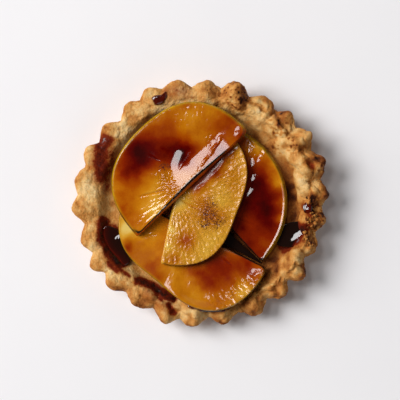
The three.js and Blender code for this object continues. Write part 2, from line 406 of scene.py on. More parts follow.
# Every point of the shell: its section turned round the middle, creased behind the edge's
# knobs, and pushed out along its normal by slow waves and three sizes of clumps. hollow is how
# deep a point lies between them.
def shellSurface():
    s = shellShape
    angle = np.arange(s["around"]) * 360 / s["around"]
    rowAt = rowNumbers(s["rowSteps"])
    crags = craggy(angle)
    section = betweenRows(shellSection(angle), rowAt)
    plainReach, height, fluted, lumpy = np.moveaxis(section, 1, 0)
    flute = fluteEdge(angle) - meanRadius(angle)
    reach = plainReach + fluted * flute
    onRim = ease(fluted / 0.35) * ease((height - 7) / 5)
    height = height + s["ridgeHeight"] * flute * onRim * mix(0.35, 1.5, crags)
    turn = np.radians(angle)
    spots = np.stack([reach * np.cos(turn), reach * np.sin(turn), height], -1)
    rowsAway = rowAt[:, None] - s["creaseRow"] - 0.5 * drift(spots, 6, 22)
    broken = np.clip(0.55 + 0.8 * drift(spots, 5, 23), 0, 1)
    crease = np.exp(-(rowsAway / 0.45) ** 2) * crags * broken * (1 - 0.7 * bell(angle, 322, 18))
    height = height - s["creaseDepth"] * crease
    run, rise = np.gradient(reach, axis=0), np.gradient(height, axis=0)
    slope = np.hypot(run, rise)
    fine = mix(0.75, 0.65, crags) * (1 - 0.4 * np.minimum(stainAndShadeCover(spots), 1))
    crumbly = 1 + sum(more * bell(angle, peak, width) for more, peak, width in s["crumblyAt"])
    roll = s["rollHeight"] * drift(spots, s["rollSize"], 20) + 0.4 * drift(spots, 4.5, 21)
    bent = shaken(spots, *s["bend"], 24)
    torn = shaken(spots, *s["tear"], 27)
    large = mix(s["smoothShare"], 1, crags) * s["clumpHeight"] * clumps(bent, s["clumpSize"])
    medium = fine * s["grainHeight"] * clumps(bent, s["grainSize"])
    small = fine * crumbly * s["crumbHeight"] * clumps(torn, s["crumbSize"])
    relief = lumpy * (roll + large + medium + small - s["reliefSink"])
    out = reach + relief * rise / slope
    up = np.maximum(height - relief * run / slope, 0)
    rings = np.stack([out * np.cos(turn), out * np.sin(turn), up], -1)
    deep = large / s["clumpHeight"] + medium / s["grainHeight"] + small / s["crumbHeight"]
    hollow = (crease - lumpy * deep / 5) * mix(0.6, 0.8, crags) * (1 - 0.4 * bell(angle, 33, 26))
    return rings, hollow


shellLook = {
    # caramel that seeped into the pastry, and one run of painted shade: runs of points with a radius and
    # a strength
    "stainsAndShade": [([(-43.5, 26.5), (-45, 19), (-44.6, 12)], 3.6, 0.95),
               # painted shade on the inner slope beside the upper left slice, laid like the caramel
               ([(-40.5, 22), (-41.5, 14), (-41.8, 7)], 2.8, 0.55),
               ([(-43.6, -8.6), (-43.8, -15), (-41.8, -20.5), (-37.8, -25.5)], 2.9, 1.05),
               ([(-40.2, -13), (-39.4, -18.5), (-36.5, -24.5)], 3.4, 1.7),
               ([(-36.5, -28.6), (-33, -32)], 1.2, 0.7),
               ([(-28.6, -34.2), (-22.2, -36.2), (-14, -41.8)], 1.9, 1.2),
               ([(-24, -38.8), (-16.5, -44.5)], 3.4, 0.42), ([(-20.4, -38.6), (-18.6, -42)], 1.4, 0.8),
               ([(-15.5, -44.5), (-13, -48)], 1.2, 0.8),
               ([(35, -19.5), (39.5, -16.5), (43.5, -11)], 2.8, 1.1),
               ([(44.8, -1.5), (46.5, -4.5)], 1.9, 0.8), ([(-15.5, 48), (-8, 49.6)], 3.2, 0.42),
               ([(-7.5, 46.2), (-4.5, 46.6)], 1, 0.35), ([(-41.5, -26.6), (-37.5, -29.6)], 1.4, 0.8),
               ([(46.2, 17.8), (47, 15.2)], 1.4, 0.6)],
    # toasted lumps: x, y, radius, strength
    "toasts": [(13.2, 48.6, 4.6, 0.7), (17.5, 44.6, 4, 0.6), (34.4, 37.8, 4.2, 0.95),
               (31.6, 31, 0.9, 0.9), (36.2, 24.6, 1.4, 0.8), (38.9, 24, 1, 0.8), (45.5, 17.9, 2.2, 0.9),
               (49, 18.5, 1.7, 0.9), (50.8, -5.8, 2.4, 1.1), (48.3, -8.6, 2.8, 1),
               (45.6, -13.8, 2.8, 0.9), (49, -1, 2.6, 0.6), (-49, -6.5, 4, 0.4), (-52, -2, 2, 0.4),
               (47.5, 3, 2.4, 0.6), (-25.5, 47.5, 4, 0.5), (-31.5, 43, 3.5, 0.6), (-41, 36, 4, 0.55),
               (-47.5, 28, 3, 0.5), (-53, 15, 3, 0.4), (-50.5, -14.5, 3.5, 0.4), (-47, -24.5, 3.5, 0.4),
               (-37.5, -37.5, 4, 0.65), (-27, -44.5, 3.5, 0.7), (22, -46.5, 3, 0.4),
               (31, -42.5, 3, 0.4), (-20, -46, 3, 0.6), (-30.5, -40, 3.5, 0.6), (-45, 30.5, 3, 0.5),
               (42, -32, 2.6, 0.5), (4, 50, 4, 0.35), (-33, 41, 3.5, 0.4)],
    # places with dark grains: x, y, radius, strength
    "speckles": [(48.5, -5, 7, 1), (14.5, 47.5, 6, 1), (34.5, 36.5, 5, 1), (37, 28, 7, 0.8),
                 (48, 16, 5, 0.8), (45, -14, 5, 0.8)],
}


# How much caramel seeped into the pastry at a point, with one run of painted shade: 0 for none, 1 and
# more for dark.
def stainAndShadeCover(spots):
    px, py = wander(spots[..., 0], spots[..., 1], spots, (1.0, 4.0), (0.4, 1.6), 5)
    cover = np.zeros_like(px)
    for run, radius, strength in shellLook["stainsAndShade"]:
        away = runDistance(px, py, run) / radius
        cover = np.maximum(cover, strength * ease((1.9 - away) / 1.8))
    return cover * ease((spots[..., 2] - 8) / 3)


# Marks: how baked from 0 pale to 1 burnt, plus painted shade; caramel that seeped in, plus one run of
# painted shade; how uneven the colour is.
def shellMarks(rings, hollow):
    x, y, z = np.moveaxis(rings, -1, 0)
    px, py = wander(x, y, rings, (1.2, 3.0), (0.6, 1.3), 15)
    reach = np.hypot(x, y)
    angle = np.degrees(np.arctan2(y, x))
    crag = craggy(angle)
    onTop = ease((z - 8) / 3)
    toast = spotCover(px, py, shellLook["toasts"]) * (1 - 0.4 * bell(angle, 180, 30))
    speckled = spotCover(px, py, shellLook["speckles"])
    speckle = ease((drift(rings, 1.1, 9) - 0.15) / 0.5) * speckled * onTop
    outward = ease((reach - 50) / 6) * ease((z - 5) / 6)
    crisp = outward * (0.16 + mix(0.12, 0.25, crag) * drift(rings, 5, 30))
    east = ease((np.cos(np.radians(angle + 10)) + 0.2) / 0.8)
    brown = 0.30 + 0.17 * east + crisp + 0.04 * bell(angle, 270, 22) + 0.04 * bell(angle, -38, 25)
    brown = brown - 0.13 * bell(angle, 33, 27) * onTop
    brown = brown + mix(0.9, 1, crag) * (0.20 * drift(rings, 6, 10) + 0.20 * drift(rings, 2.5, 11))
    # creases and hollows between clumps get darker baking and painted shade
    brown = brown + 0.38 * toast + 0.48 * speckle + 0.5 * np.clip(hollow, -1, 1) * onTop
    # painted shade on the floor and inner wall beside the right slice, over somewhat darker baking
    floor = ease((13 - z) / 3) * ease((50 - reach) / 3)
    brown = brown + floor * (0.06 + 0.30 * bell(angle, 2, 18))
    # painted shadow of the slices on the pastry at the lower right
    fruitShade = ease((47 - reach) / 3) * onTop
    brown = brown + fruitShade * (0.25 * bell(angle, -44, 12) + 0.20 * bell(angle, -70, 14))
    brown = mix(0.48, brown, ease((z - 1) / 9))
    return {"brown": withPoles(brown), "stain": withPoles(stainAndShadeCover(rings)),
            "mottle": withPoles(mix(1.3, 0.8, crag) * np.ones_like(x))}


# Baked crust, with caramel that seeped in over it: dark, and glossy where it lies thick; the same colours
# paint shade where the marks carry it.
def pastryMaterial():
    material, wire = newMaterial("bakedPastry")
    mottle = 0.34 * wire.noise(1.3, 3.0, 0.65) + 0.20 * wire.noise(0.5, 2.0)
    # this mark holds both the baking and the painted shade of the shell
    brown = wire.mark("brown") + wire.mark("mottle") * mottle
    baked = wire.ramp([
        (0.0, shade(228, 198, 144)), (0.25, shade(216, 168, 102)), (0.45, shade(196, 134, 66)),
        (0.65, shade(158, 94, 38)), (0.84, shade(102, 48, 14)), (1.0, shade(48, 20, 8)),
    ], brown.clamp())
    stain = wire.mark("stain") * (0.75 + 0.8 * wire.noise(2.2, 3.0) + 0.5 * wire.noise(0.7, 2.0))
    stain = stain.clamp()
    soaked = wire.ramp([
        (0.0, shade(196, 132, 62)), (0.22, shade(158, 84, 26)), (0.45, shade(118, 38, 6)),
        (0.7, shade(88, 20, 2)), (1.0, shade(34, 12, 6)),
    ], stain)
    stainAndShadeShare = (stain * 2.2).clamp()
    grain = (wire.noise(0.6, 3.0, 0.65) - 0.6 * wire.cells(0.9)) * (1.0 - 0.4 * stainAndShadeShare)
    closeMaterial(wire, {
        "Base Color": wire.blend(baked, soaked, stainAndShadeShare),
        "Roughness": 0.6 + 0.2 * stainAndShadeShare,
        "Specular IOR Level": 0.1,
        "Subsurface Weight": 0.12,
        "Subsurface Radius": (1.0, 0.5, 0.25),
        "Subsurface Scale": 1.2 * mm,
        "Coat Weight": (1.5 * stain - 0.9).clamp(),
        "Coat Roughness": 0.12,
        "Normal": wire.bump(grain, 0.8, 0.4),
    })
    return material


shellRings, shellHollow = shellSurface()
shell = addSkin("pastryShell", shellRings, (0, 0, 0),
                (0, 0, shellShape["floorHeight"] + shellShape["floorCrown"]),
                shellMarks(shellRings, shellHollow))
shell.data.materials.append(pastryMaterial())
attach(shell, "root")
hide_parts("tart_shell")
print("pastry shell:", len(shell.data.polygons), "faces")


# Each slice is a half-moon, in mm and degrees. reach is its radius from the middle of its cut,
# as a cosine series round the arc. corners round the cut's two ends, peelLean and cutLean draw
# the top in from the underside, and bed is the underside's height. cutLift raises the cut's
# edge: slope, width, sinking elsewhere, and goes on along a tongue: points, half width.
# curls raise the round edge: direction, height, width. ridges are runs of caramel: points,
# height, width. slides slope down towards -x, +y: points, width, slope. tilts slope up towards
# +x, -y: x, y, radius, slope. grooves run out from the core: direction, start, end, depth.
# spots thicken (+) or thin (-) the plain caramel: x, y, radius, amount; some are painted shade.
# fibres raise the grain above plainFibre, calms smooth it, chars burn it: x, y, radius, strength.
# dulls take the gloss off: points, radius. burntTo ends the cut's burnt edge. rims darken the peel:
# direction, width. side is the cut face's colour, the next the same under thick caramel, burnt how
# dark its edge is. Both colours are painted shade where a cut face lies in shadow.
plainSlice = {  # what a slice has where its own entry doesn't say
    "cutLift": (0, 5, 0), "tongue": None, "curls": [], "ridges": [], "slides": [], "tilts": [],
    "chars": [], "dulls": [], "burntTo": 99, "rims": [],
    # side here is painted shade for the cut faces of the lower left and right slices, in the dark gap
    # between them; the darker colour paints shade on the upper half of the upper left slice's cut face
    "side": shade(50, 28, 19), "soaked": shade(84, 18, 4), "burnt": 1.0, "coatRoughness": 0.09,
}

slices = {}
slices["lowerLeft"] = {
    "node": "persimmon_slice_lower_left", "middle": (-5.7, -10.8), "cutAngle": 152.5,
    "reach": (33, -4.4, 3.5, 0.9, -1.4), "corners": (2, 1.4), "peelLean": 0.5, "cutLean": 0.9,
    "bed": lambda x, y: 10.8 + 3.7 * np.maximum(
        0, (0.13 * (x + 5.7) - 0.99 * (y + 10.8)) / 36) ** 1.25,
    "curls": [(-52, 1.1, 4)],
    "grooves": [(190, 14, 22, 0.35), (-42, 19, 26, 0.45)],
    "caramel": 0.42,
    "spots": [(-33.4, -10, 4.6, -0.48), (-32.4, -19.4, 3, 0.22), (-24.5, -28, 4.5, 0.16),
              (2.2, -34, 5.5, 0.3), (13.5, -25.5, 7, 0.16), (20.5, -28, 5, 0.22), (6, -26, 5, 0.26),
              (-6, -38, 6, -0.04), (-14.5, -33, 6, -0.05), (18, -39, 5, -0.22), (-14, -40, 6, 0.1),
              (-3, -30, 4, 0.14), (-19, -32.5, 3, 0.12), (11, -33, 4, 0.16)],
    "plainFibre": 0.1,
    "fibres": [(-22.4, -11.7, 3, 0.4), (22.4, -34.2, 7, 1), (14.4, -40.2, 6, 1), (7, -43.5, 4, 0.7)],
    "calms": [(-22, -24, 9, 0.8)],
    "rims": [(-84, 14)],
    "peel": (shade(190, 146, 24), shade(130, 88, 14)),
    # this slice's cut face colours are painted shade, for its face in the dark gap
    "soaked": shade(44, 18, 11), "coatRoughness": 0.12,
}
slices["right"] = {
    "node": "persimmon_slice_right", "middle": (1.4, -0.1), "cutAngle": -46.5,
    "reach": (35.4, 0.6, -0.4), "corners": (1.2, 1.6), "peelLean": 1.3, "cutLean": 0.6,
    "bed": lambda x, y: 10.85 + 0.45 * (x - y) / 50 + 0.8 * ease((x - 20) / 18),
    "curls": [(-16, 0.5, 0.8)],
    "ridges": [([(19.5, 28), (22, 19), (23.5, 12.5)], 0.15, 0.8),
               ([(22.5, 26), (26, 20.5)], 0.15, 0.8)],
    "slides": [([(20.7, 8.2), (22, 12.6)], 1.8, 0.16), ([(18.6, 1.5), (20.8, 6.8)], 1.6, 0.16),
               ([(21.6, 15.2), (21.2, 19.8)], 1.2, 0.16), ([(20.6, 21.2), (20, 26.5)], 1.2, 0.16),
               ([(23.6, 17.6), (25.6, 23)], 1.1, 0.16)],
    "grooves": [(-24, 12, 26, 0.2)],
    "caramel": 0.62,
    # the spots at (17.5, 0), (16.5, -11) and (21, -18.5) are painted shade beside the middle slice and
    # the gap
    "spots": [(28.4, -2, 8.2, 0.36), (25, 9, 6, 0.28), (29.5, -11, 4, 0.12), (32.8, 9.5, 4.4, -0.36),
              (35.6, 0, 3.2, -0.42), (34.8, -7, 3, -0.36), (17.5, 0, 4, 0.16), (17, 14, 3, 0.2),
              (24.5, 25, 4.5, -0.38), (22, -9, 3, -0.06), (31, 18, 3, -0.2), (16.5, -11, 5, 0.2),
              (21, -18.5, 3.6, 0.14), (26.5, -22, 3, 0.1)],
    "plainFibre": 0.12,
    "fibres": [(21.5, 23.5, 4.5, 0.8)],
    "calms": [(28, 0, 9, 1), (26, -14, 8, 0.8)],
    # this slice's cut face colours are painted shade, for its face in the dark gap
    "peel": (shade(180, 142, 22), shade(112, 86, 14)), "soaked": shade(44, 18, 11),
}
slices["middle"] = {
    "node": "persimmon_slice_middle", "middle": (-12.7, 2.8), "cutAngle": -101.5,
    "reach": (32.2, -3.4, 2, 0.5, -1.4), "corners": (1.2, 3), "peelLean": 0.35, "cutLean": 1.1,
    "bed": lambda x, y: (14.75 + 0.5 * np.maximum(0, -y / 27) ** 2
                         - 0.9 * np.maximum(0, (y - 10) / 25) ** 2
                         + 0.03 * np.maximum(0, x - y + 7)),
    "curls": [(8, 0.35, 1.6)],
    "ridges": [([(-2.8, 4.6), (1.2, 9.2), (6.4, 14.2), (9.6, 17.8)], 0.3, 1.2),
               ([(-1.4, 4.6), (2.2, 8.6)], 0.15, 0.7)],
    "tilts": [(2, 6, 9, 0.06)],
    "grooves": [(-26.5, 2, 15, 0.5), (-62, 9, 20, 0.2)],
    "caramel": 0.27,
    "spots": [(-12, -1, 3.4, -0.22), (-14.6, -10, 2, -0.2), (-16.2, -20, 1.8, -0.18),
              (-8.2, -16, 3.8, 0.28), (3, -4, 5.5, 0.22), (1, -19, 5, -0.12), (7, -14, 3.5, -0.08),
              (-13.5, -25, 3, 0.16), (8, 2, 4, -0.08), (-4, 7.5, 3.2, 0.42), (0, 11.2, 3, 0.35),
              (3.5, 14.6, 3.2, 0.4), (7, 18.2, 3.2, 0.4), (11, 22, 3.2, 0.4), (-5.5, -18.5, 5, 0.06)],
    "plainFibre": 0.8,
    "fibres": [(2, -3, 8, 1.1), (-5, -18, 8, 0.9), (8, 12, 8, 1.2)],
    "calms": [(-13, 0, 4.5, 0.95), (-2.5, 6, 3.4, 1), (1.5, 10.6, 3.4, 1), (6, 15.4, 3.4, 1)],
    "rims": [(-108, 24)],
    "chars": [(4.2, 0.6, 3.4, 0.8), (3, -4.5, 4.6, 0.9), (7, -8, 3.4, 0.85), (1, -9.5, 3.6, 0.9)],
    "peel": (shade(190, 128, 24), shade(120, 72, 14)),
    "side": shade(222, 172, 60), "burnt": 0.0, "coatRoughness": 0.2,
}
slices["upperLeft"] = {
    "node": "persimmon_slice_upper_left", "middle": (-4, 8.5), "cutAngle": 43.3,
    "reach": (35, -0.2, -0.1, -0.1, -1.2), "corners": (3.4, 1.2), "peelLean": 0.7,
    "cutLean": 1.5, "cutLift": (0.13, 8.6, 0.5),
    "bed": lambda x, y: (
        18.25 - 1.6 * np.maximum(0, (-0.686 * (x + 4) + 0.728 * (y - 8.5)) / 35)
        - 3.4 * ease((-0.728 * (x + 4) - 0.686 * (y - 8.5) - 10) / 24)),
    "ridges": [([(-0.4, 16.8), (3.6, 22.6), (7.9, 28.7)], 0.25, 0.5)],
    "tongue": ([(-12.2, 12.5), (-12.6, 17), (-10.9, 21.6)], 1.5),
    "tilts": [(14.5, 31.3, 1.8, 0.12)],
    "grooves": [(193, 11, 26, 0.5), (146, 17, 24, 0.5)],
    "caramel": 0.43,
    "spots": [(-28.5, 21, 9, 0.54), (-9, 22.5, 6, 0.36), (-18, 24, 6.5, 0.26), (-31.5, 12.5, 4.5, 0.2),
              (-35, 0, 4.5, 0.16), (-34, -8, 4.5, 0.12), (14.5, 39, 5, 0.16), (-8, 44, 3, 0.14),
              (9.5, 32.5, 6.5, 0.2), (-16, 32.5, 5, 0.12), (17, 28, 3.8, 0.3), (-4.5, 39.5, 6, -0.08),
              (-21, -2.5, 7, -0.24), (-22, 8, 6, -0.1), (5.5, 23, 5, 0.18), (-34.5, 12, 3, 0.05),
              # the spots at (3, 15.2) and (9, 21) thicken caramel along the cut, so its upper half takes
              # painted shade
              (-9.7, 19, 4.5, 0.25), (3, 15.2, 3.4, 0.25), (9, 21, 3.4, 0.25)],
    "plainFibre": 0.14,
    "fibres": [(-17.5, 12, 3.6, 1.1), (-20.2, -2.9, 6.3, 0.6), (3.5, 28, 2.5, 0.9),
               (-7.9, 38.8, 6, 0.2), (11.9, 37.4, 2.5, 0.7), (-15, 3, 5, 0.9)],
    "calms": [(-9, 17, 6, 1), (-26, 24, 11, 0.9), (-8, 27, 6, 0.9), (-1, 20, 4, 0.9), (8, 25, 4, 0.6),
              (-28, 6, 7, 0.8)],
    "dulls": [([(-7.6, 18), (-6.4, 22.4), (-6, 28)], 2.2), ([(-8.6, 26), (-9.6, 34)], 2.4),
              ([(-14, 21.5), (-17.5, 23.5)], 1.5)],
    "burntTo": 22,
    "rims": [(242, 16)],
    "chars": [(-16.7, 15.6, 2.4, 0.9)],
    "peel": (shade(200, 158, 16), shade(146, 104, 12)), "side": shade(200, 82, 8), "burnt": 1.7,
}

sliceShape = {
    "thickness": 3.0,
    "swell": 0.06,  # height of long waves in the top
    "arcShare": 0.7,  # of the way round, on the round side
    "perimeter": 177,
    "around": 480,
    # rings from the underside round to the top: share of the way in, mm in, share of the
    # lean, share of the thickness
    "rows": [(0.97, 0, 0, 0), (0.62, 0, 0, 0), (0.25, 0, 0, 0), (0, 1.0, 0, 0.02), (0, 0.15, 0, 0.2),
             (0, 0, 0.3, 0.45), (0, 0.02, 0.75, 0.83), (0, 0.3, 1, 0.98), (0, 1.2, 1, 1),
             (0.25, 0, 0, 1), (0.62, 0, 0, 1), (0.97, 0, 0, 1)],
    "rowSteps": [(0, 3, 8), (3, 8, 26), (8, 9, 26), (9, 11, 60)],
    "fibreSize": 0.8,
    "fibreLength": 2.2,
    "fibreHeight": 0.2,
    "apart": 3.7,  # between the slices' patterns of waves, so that no two are alike
}


# The sharp outline at parts 0 to 1 of the way round: the round side, then the straight cut.
def sharpOutline(fruit, part):
    part = part % 1
    share = sliceShape["arcShare"]
    turn = np.pi * np.minimum(part / share, 1)
    reach = sum(size * np.cos(wave * turn) for wave, size in enumerate(fruit["reach"]))
    angle = np.radians(fruit["cutAngle"]) + turn
    arc = np.stack([reach * np.cos(angle), reach * np.sin(angle)], -1)
    first, last = arc[0], arc[np.argmin(abs(part - share))]
    along = np.clip((part - share) / (1 - share), 0, 1)[:, None]
    return np.where((part < share)[:, None], arc, mix(last, first, along)) + fruit["middle"]


# The outline with rounded corners: the mean of nine points of the sharp one.
def sliceOutline(fruit, part):
    share = sliceShape["arcShare"]
    nearLast = ease((part - 0.1) / (share - 0.1)) * (part < (1 + share) / 2)
    spread = mix(fruit["corners"][0], fruit["corners"][1], nearLast) / sliceShape["perimeter"]
    ends = np.array([0.0, share])  # both ends ride along, so that the cut knows them
    shifted = [np.concatenate([ends, part + spread * k / 4]) for k in range(-4, 5)]
    return sum(sharpOutline(fruit, places)[2:] for places in shifted) / 9


# Thickness of caramel at x, y: a plain level, slow drift and soft round spots, some of which are
# painted shade. char is how burnt the fruit is there.
def caramelLevel(fruit, x, y, flat):
    px, py = wander(x, y, flat, (1.6, 6), (0.5, 2), 11)
    level = fruit["caramel"] + 0.06 * drift(flat, 7, 15) + 0.04 * drift(flat, 2.2, 16)
    for *spot, amount in fruit["spots"]:
        level = level + amount * np.exp(-spotAway(px, py, *spot))
    char = np.zeros_like(x)
    for *spot, strength in fruit["chars"]:
        char = np.maximum(char, strength * np.exp(-spotAway(px, py, *spot)))
    return level, char


# A plane that rises to the cut. The top leaves it by the smaller of two distances, past the
# plane's foot and aside of its tongue, joined by a smooth minimum.
def cutSlope(fruit, x, y, alongCut, fromCut):
    slope, width, sink = fruit["cutLift"]
    beyond = above(fromCut - width, 0.1)
    if fruit["tongue"]:
        run, half = fruit["tongue"]
        aside = above(runDistance(x, y, run) - half, 0.1)
        right = ease((x - run[0][0]) / 2) * ease((25 - y) / 3)
        aside = aside * mix(1, 0.6, right) + 2.0 * above(aside - mix(2.2, 7, right))
        beyond = beyond * aside / (beyond ** 4 + aside ** 4) ** 0.25
    return slope * (width - fromCut + beyond) * (1 - 0.5 * ease((alongCut - 22) / 6)) - sink


# Radial grooves from the core, each a narrow trough between two low shoulders.
def sliceGrooves(fruit, ax, ay, flat):
    groove = np.zeros_like(ax)
    for direction, start, end, depth in fruit["grooves"]:
        along, side = seenAlong(ax, ay, direction)
        side = side + 0.5 * drift(flat, 6, 3)
        ends = ease((along - start) / 3) * ease((end - along) / 5)
        groove = groove + depth * ends * (np.exp(-(side / 0.45) ** 2) - 0.35 * np.exp(-(side / 1.3) ** 2))
    return groove


# Relief of a slice's top, as its entry says, with fibres that run out from the core and drown
# in thick caramel. flat is the place in the slice's own waves, topEdge the way in from the rim.
def sliceRelief(fruit, x, y, flat, heart, topEdge, caramel):
    s = sliceShape
    ax, ay = x - fruit["middle"][0], y - fruit["middle"][1]
    lift = cutSlope(fruit, x, y, *seenAlong(ax, ay, fruit["cutAngle"]))
    lift = lift + s["swell"] * (np.sin(x / 5.1 + 0.7) * np.cos(y / 6.3) + np.sin((x - y) / 7.7))
    hx, hy = x - heart[0], y - heart[1]
    for direction, height, width in fruit["curls"]:
        facing = ease(seenAlong(hx, hy, direction)[0] / np.hypot(hx, hy) * 1.5 - 0.4)
        lift = lift + height * facing * np.exp(-(topEdge / width) ** 2)
    for run, height, width in fruit["ridges"]:
        away = runDistance(x + 0.5 * drift(flat, 3, 5), y + 0.5 * drift(flat, 3, 6), run)
        lift = lift + height * np.exp(-(away / width) ** 2) * (1 + 0.6 * drift(flat, 2.5, 7))
    diagonal = 1.41  # about the root of 2
    for run, width, slope in fruit["slides"]:
        start, end = [(runY - runX) / diagonal for runX, runY in (run[0], run[-1])]
        down = (y - x) / diagonal - start
        length = end - start + width
        near = np.exp(-(runDistance(x, y, run) / width) ** 2)
        lift = lift - slope * near * (above(down) - 2 * above(down - length) + above(down - 2 * length))
    for cx, cy, radius, slope in fruit["tilts"]:
        near = np.exp(-spotAway(x, y, cx, cy, radius))
        lift = lift + slope * near * (x - cx - y + cy) / diagonal
    groove = sliceGrooves(fruit, ax, ay, flat)
    strength = np.full_like(x, fruit["plainFibre"])
    for *spot, amount in fruit["fibres"]:
        strength = mix(strength, amount, np.exp(-spotAway(x, y, *spot)))
    strength = strength * (1 - 0.85 * ease((caramel - 0.42) / 0.25))
    calm = np.zeros_like(x)
    for *spot, amount in fruit["calms"]:
        calm = np.maximum(calm, amount * np.exp(-spotAway(x, y, *spot) ** 2))
    strength = strength * (1 - calm)
    roundCore = np.arctan2(ay, ax) * 26  # the direction, as mm round a circle of this radius
    outFromCore = np.hypot(ax, ay) * s["fibreSize"] / s["fibreLength"]
    fibre = drift(np.stack([roundCore, outFromCore, flat[..., 2]], -1), s["fibreSize"], 1)
    fibre = fibre + 0.5 * drift(flat, 0.8, 2)
    lift = lift + s["fibreHeight"] * strength * fibre - groove
    lift = lift + 0.08 * (1 - calm) * drift(flat, 4.2, 4)
    return lift, groove, strength


# A slice's rings of points, from the middle of its underside round to the middle of its
# top, with the marks that its material reads.
def sliceSurface(fruit, number):
    s = sliceShape
    part = np.arange(s["around"]) / s["around"]
    edge = sliceOutline(fruit, part)
    heart = edge.mean(0)
    rows = betweenRows(np.array(s["rows"], float), rowNumbers(s["rowSteps"]))
    inward, inset, leant, share = [column[:, None] for column in rows.T]
    onPeel = ease(np.minimum(part, s["arcShare"] - part) / 0.03)
    lean = mix(fruit["cutLean"], fruit["peelLean"], onPeel)
    away = np.hypot(*(edge - heart).T)
    keep = 1 - inward - (inset + leant * lean) / away
    x = mix(heart[0], edge[:, 0], keep)
    y = mix(heart[1], edge[:, 1], keep)
    flat = np.stack([x, y, np.full_like(x, s["apart"] * number)], -1)
    caramel, char = caramelLevel(fruit, x, y, flat)
    topEdge = (1 - keep) * away - lean
    lift, groove, strength = sliceRelief(fruit, x, y, flat, heart, topEdge, caramel)
    z = fruit["bed"](x, y) + share * (s["thickness"] + lift)
    onTop = ease((share - 0.9) / 0.07) * np.ones_like(x)
    edgeLine = np.exp(-((topEdge - 0.3) / 0.55) ** 2) * ease((share - 0.7) / 0.2)
    dull = np.zeros_like(x)
    for run, radius in fruit["dulls"]:
        dull = np.maximum(dull, ease((radius - runDistance(x, y, run)) / 0.5))
    facing = np.degrees(np.arctan2(y - heart[1], x - heart[0]))
    darkPeel = sum(bell(facing, direction, width) for direction, width in fruit["rims"])
    alongCut, _ = seenAlong(x - fruit["middle"][0], y - fruit["middle"][1], fruit["cutAngle"])
    marks = {
        "caramel": caramel + 0.25 * groove, "char": char, "fibre": strength, "dull": dull,
        "peel": (1 - onTop) * onPeel, "side": (1 - onTop) * (1 - onPeel),
        "cutLine": (1 - onPeel) * edgeLine * ease((fruit["burntTo"] - alongCut) / 5),
        "peelLine": onPeel * edgeLine, "rim": (1 - onTop) * onPeel * darkPeel,
    }
    rings = np.stack([x, y, z], -1)
    return rings, heart, {name: withPoles(values * np.ones_like(x)) for name, values in marks.items()}


# Fruit under caramel, pale to dark red with its thickness, then the side, burnt line and peel.
def fruitMaterial(name, look):
    material, wire = newMaterial(name)
    caramel = wire.mark("caramel") + 0.10 * wire.noise(0.9, 3.0, 0.6) + 0.05 * wire.noise(0.35, 2.0)
    fruit = wire.ramp([
        (0.0, shade(228, 194, 104)), (0.16, shade(216, 160, 50)), (0.36, shade(190, 116, 12)),
        (0.56, shade(156, 68, 2)), (0.72, shade(124, 30, 1)), (0.88, shade(84, 4, 1)),
        (1.0, shade(52, 3, 2)),
    ], caramel.clamp())
    char = (wire.mark("char") * (1.1 + 8.0 * wire.noise(0.75, 3.0, 0.65)) - 0.35).clamp()
    fruit = wire.blend(fruit, shade(74, 30, 30), 0.9 * char)
    # the side colours are painted shade where a cut face lies in shadow
    side = wire.blend(look["side"], look["soaked"], (4.0 * (wire.mark("caramel") - 0.5)).clamp())
    fruit = wire.blend(fruit, side, 0.95 * wire.mark("side"))
    burnt = (look["burnt"] * wire.mark("cutLine") * (1.0 + 1.6 * wire.noise(2.4, 2.0))).clamp()
    fruit = wire.blend(fruit, shade(22, 15, 12), burnt)
    peel = wire.ramp([(0.25, look["peel"][0]), (0.75, look["peel"][1])], 0.5 + wire.noise(2.5, 3.0))
    fruit = wire.blend(fruit, peel, (wire.mark("peel") + 0.35 * wire.mark("peelLine")).clamp())
    fruit = wire.blend(fruit, shade(70, 16, 10), (1.4 * wire.mark("rim")).clamp())
    bark = wire.noise(0.42, 2.0, 0.6) * (0.03 + wire.mark("fibre"))
    closeMaterial(wire, {
        "Base Color": fruit,
        "Roughness": 0.5,
        "Specular IOR Level": 0.0,
        "Coat Weight": (1.0 - 0.3 * char - 0.95 * wire.mark("dull")).clamp(),
        "Coat Roughness": look["coatRoughness"],
        "Coat IOR": 1.45,
        "Normal": wire.bump(bark, 0.9, 0.5),
    })
    return material


for number, (name, ownEntry) in enumerate(slices.items()):
    fruit = plainSlice | ownEntry
    rings, heart, marks = sliceSurface(fruit, number)
    poles = [(*heart, rings[row, :, 2].mean()) for row in (0, -1)]
    piece = addSkin("persimmonSlice_" + name, rings, *poles, marks)
    piece.data.materials.append(fruitMaterial("persimmon_" + name, fruit))
    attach(piece, "root")
    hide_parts(fruit["node"])
    print("slice", name + ":", len(piece.data.polygons), "faces")


# The pastry's height on a grid of direction and radius: the shell's rings, resampled.
def pastryMap():
    reach = np.hypot(shellRings[..., 0], shellRings[..., 1])
    outerEdge = 6.2  # as a number of the section's rows
    first = np.searchsorted(rowNumbers(shellShape["rowSteps"]), outerEdge)
    grid = np.arange(0, 54, 0.25)
    columns = [np.interp(grid, reach[first:, i][::-1], shellRings[first:, i, 2][::-1])
               for i in range(reach.shape[1])]
    return grid, np.array(columns)


mapReach, mapHeight = pastryMap()


def pastryHeight(x, y):  # the nearest entry of that map
    turn = np.degrees(np.arctan2(y, x)) % 360 / 360
    column = (turn * len(mapHeight)).astype(int) % len(mapHeight)
    row = np.clip(np.hypot(x, y) / (mapReach[1] - mapReach[0]), 0, len(mapReach) - 1).astype(int)
    return mapHeight[column, row]


